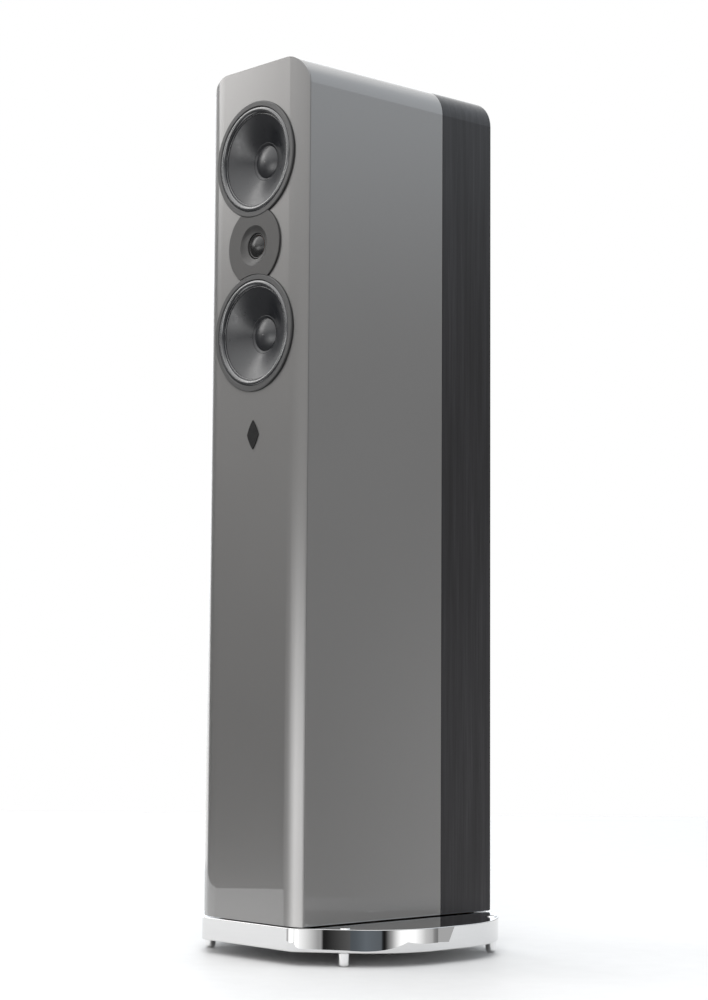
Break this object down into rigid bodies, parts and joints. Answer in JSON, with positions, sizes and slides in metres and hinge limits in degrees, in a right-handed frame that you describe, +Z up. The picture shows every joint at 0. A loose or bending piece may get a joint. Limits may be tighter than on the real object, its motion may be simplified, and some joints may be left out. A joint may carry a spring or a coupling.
{
  "type": "floorstanding loudspeaker",
  "caption": "Tall slim loudspeaker with rounded top corners, silver lacquer front and sides, dark veneered rear, paired woofers about a tweeter, on a mirror-polished plinth with screw feet.",
  "frame": {"origin": "on the floor under the middle of the plinth's box", "axes": "+Z up, the front baffle faces -Y, +X to the right seen from the front"},
  "size_m": [0.383, 0.3502, 1.15],
  "materials": {
    "silver_lacquer": "clear-coated silver-grey lacquer over MDF, high gloss",
    "ebony_veneer": "dark ebony veneer, semi-gloss",
    "damping_gel": "soft set gel",
    "mdf": "bare board",
    "moulded_black": "fine moulded texture",
    "wadding": "loose fibre",
    "cable_sheath": "matt",
    "circuit_board": "solder mask",
    "copper": "enamelled wire",
    "film_capacitor": "taped film",
    "gold_plate": "gold plated, polished",
    "knob_black": "satin moulding",
    "knob_red": "satin moulding",
    "cast_grey": "powder coated casting",
    "zinc_steel": "zinc plated",
    "ferrite": "sintered ceramic magnet",
    "trim_metal": "turned and polished",
    "roll_rubber": "glossy rubber",
    "cone_grey": "smooth satin",
    "spider_cloth": "resin-treated cloth",
    "black_steel": "blackened",
    "faceplate_satin": "satin anodised",
    "dome_fabric": "coated silk",
    "polished_plinth": "cast, polished and chrome plated",
    "chrome_steel": "polished",
    "badge_metal": "dark polished"
  },
  "bodies": {
    "cabinet": {"front_baffle": "silver_lacquer", "cabinet_wrap": "silver_lacquer", "veneer_wrap": "ebony_veneer", "damping_layer": "damping_gel", "inner_shell": "mdf", "rear_panel": "ebony_veneer", "base_panel": "mdf", "window_braces": "mdf", "port_tube": "moulded_black", "acoustic_wadding": "wadding", "driver_wiring": "cable_sheath", "crossover_board": "circuit_board", "crossover_coils": "copper", "crossover_capacitors": "film_capacitor", "terminal_cup": "moulded_black", "binding_posts": "gold_plate", "jumper_links": "gold_plate", "driver_screws": "black_steel", "tweeter_faceplate": "faceplate_satin", "tweeter_magnet": "zinc_steel", "tweeter_surround": "roll_rubber", "plinth": "polished_plinth", "plinth_bolts": "black_steel", "badge": "badge_metal", "upper_woofer_trim_ring": "trim_metal", "upper_woofer_frame": "cast_grey", "upper_woofer_magnet": "ferrite", "upper_woofer_motor_steel": "zinc_steel", "upper_woofer_surround": "roll_rubber", "upper_woofer_spider": "spider_cloth", "lower_woofer_trim_ring": "trim_metal", "lower_woofer_frame": "cast_grey", "lower_woofer_magnet": "ferrite", "lower_woofer_motor_steel": "zinc_steel", "lower_woofer_surround": "roll_rubber", "lower_woofer_spider": "spider_cloth"},
    "upper_woofer_moving": {"upper_woofer_cone": "cone_grey", "upper_woofer_dust_cap": "cone_grey", "upper_woofer_voice_coil": "copper"},
    "lower_woofer_moving": {"lower_woofer_cone": "cone_grey", "lower_woofer_dust_cap": "cone_grey", "lower_woofer_voice_coil": "copper"},
    "tweeter_moving": {"tweeter_dome": "dome_fabric", "tweeter_voice_coil": "copper"},
    "washer_body_1": {"clamp_washer_1": "gold_plate"},
    "knob_body_1": {"post_knob_1": "knob_black"},
    "washer_body_2": {"clamp_washer_2": "gold_plate"},
    "knob_body_2": {"post_knob_2": "knob_red"},
    "washer_body_3": {"clamp_washer_3": "gold_plate"},
    "knob_body_3": {"post_knob_3": "knob_black"},
    "washer_body_4": {"clamp_washer_4": "gold_plate"},
    "knob_body_4": {"post_knob_4": "knob_red"},
    "pad_body_1": {"foot_pad_1": "chrome_steel"},
    "stud_body_1": {"foot_stud_1": "zinc_steel"},
    "pad_body_2": {"foot_pad_2": "chrome_steel"},
    "stud_body_2": {"foot_stud_2": "zinc_steel"},
    "pad_body_3": {"foot_pad_3": "chrome_steel"},
    "stud_body_3": {"foot_stud_3": "zinc_steel"},
    "pad_body_4": {"foot_pad_4": "chrome_steel"},
    "stud_body_4": {"foot_stud_4": "zinc_steel"}
  },
  "joints": [
    {"name": "upper_woofer_travel", "type": "slide", "parent": "cabinet", "child": "upper_woofer_moving", "axis": [0, -1, 0], "range_m": [-0.005, 0.005], "stiffness_N_per_m": 1000, "deforming": ["upper_woofer_surround", "upper_woofer_spider"]},
    {"name": "lower_woofer_travel", "type": "slide", "parent": "cabinet", "child": "lower_woofer_moving", "axis": [0, -1, 0], "range_m": [-0.005, 0.005], "stiffness_N_per_m": 1000, "deforming": ["lower_woofer_surround", "lower_woofer_spider"]},
    {"name": "tweeter_travel", "type": "slide", "parent": "cabinet", "child": "tweeter_moving", "axis": [0, -1, 0], "range_m": [-0.0004, 0.0004], "stiffness_N_per_m": 2000, "deforming": ["tweeter_surround"]},
    {"name": "clamp_washer_1_slide", "type": "slide", "parent": "cabinet", "child": "washer_body_1", "axis": [0, 1, 0], "range_m": [0, 0.006]},
    {"name": "post_knob_1_turn", "type": "hinge", "parent": "washer_body_1", "child": "knob_body_1", "pos_m": [-0.022, 0.1533, 0.214], "axis": [0, 1, 0], "range_deg": [0, 2161]},
    {"name": "clamp_washer_2_slide", "type": "slide", "parent": "cabinet", "child": "washer_body_2", "axis": [0, 1, 0], "range_m": [0, 0.006]},
    {"name": "post_knob_2_turn", "type": "hinge", "parent": "washer_body_2", "child": "knob_body_2", "pos_m": [0.022, 0.1533, 0.214], "axis": [0, 1, 0], "range_deg": [0, 2161]},
    {"name": "clamp_washer_3_slide", "type": "slide", "parent": "cabinet", "child": "washer_body_3", "axis": [0, 1, 0], "range_m": [0, 0.006]},
    {"name": "post_knob_3_turn", "type": "hinge", "parent": "washer_body_3", "child": "knob_body_3", "pos_m": [-0.022, 0.1533, 0.166], "axis": [0, 1, 0], "range_deg": [0, 2161]},
    {"name": "clamp_washer_4_slide", "type": "slide", "parent": "cabinet", "child": "washer_body_4", "axis": [0, 1, 0], "range_m": [0, 0.006]},
    {"name": "post_knob_4_turn", "type": "hinge", "parent": "washer_body_4", "child": "knob_body_4", "pos_m": [0.022, 0.1533, 0.166], "axis": [0, 1, 0], "range_deg": [0, 2161]},
    {"name": "foot_pad_1_slide", "type": "slide", "parent": "cabinet", "child": "pad_body_1", "axis": [0, 0, -1], "range_m": [0, 0.01]},
    {"name": "foot_stud_1_turn", "type": "hinge", "parent": "pad_body_1", "child": "stud_body_1", "pos_m": [-0.13, -0.1259, 0.025], "axis": [0, 0, -1], "range_deg": [0, 2881]},
    {"name": "foot_pad_2_slide", "type": "slide", "parent": "cabinet", "child": "pad_body_2", "axis": [0, 0, -1], "range_m": [0, 0.01]},
    {"name": "foot_stud_2_turn", "type": "hinge", "parent": "pad_body_2", "child": "stud_body_2", "pos_m": [0.13, -0.1259, 0.025], "axis": [0, 0, -1], "range_deg": [0, 2881]},
    {"name": "foot_pad_3_slide", "type": "slide", "parent": "cabinet", "child": "pad_body_3", "axis": [0, 0, -1], "range_m": [0, 0.01]},
    {"name": "foot_stud_3_turn", "type": "hinge", "parent": "pad_body_3", "child": "stud_body_3", "pos_m": [-0.1417, 0.1233, 0.025], "axis": [0, 0, -1], "range_deg": [0, 2881]},
    {"name": "foot_pad_4_slide", "type": "slide", "parent": "cabinet", "child": "pad_body_4", "axis": [0, 0, -1], "range_m": [0, 0.01]},
    {"name": "foot_stud_4_turn", "type": "hinge", "parent": "pad_body_4", "child": "stud_body_4", "pos_m": [0.1417, 0.1233, 0.025], "axis": [0, 0, -1], "range_deg": [0, 2881]}
  ],
  "couplings": [
    {"joint": "post_knob_1_turn", "follows": "clamp_washer_1_slide", "rad_per_m": 6283.2},
    {"joint": "post_knob_2_turn", "follows": "clamp_washer_2_slide", "rad_per_m": 6283.2},
    {"joint": "post_knob_3_turn", "follows": "clamp_washer_3_slide", "rad_per_m": 6283.2},
    {"joint": "post_knob_4_turn", "follows": "clamp_washer_4_slide", "rad_per_m": 6283.2},
    {"joint": "foot_stud_1_turn", "follows": "foot_pad_1_slide", "rad_per_m": 5026.5},
    {"joint": "foot_stud_2_turn", "follows": "foot_pad_2_slide", "rad_per_m": 5026.5},
    {"joint": "foot_stud_3_turn", "follows": "foot_pad_3_slide", "rad_per_m": 5026.5},
    {"joint": "foot_stud_4_turn", "follows": "foot_pad_4_slide", "rad_per_m": 5026.5}
  ]
}
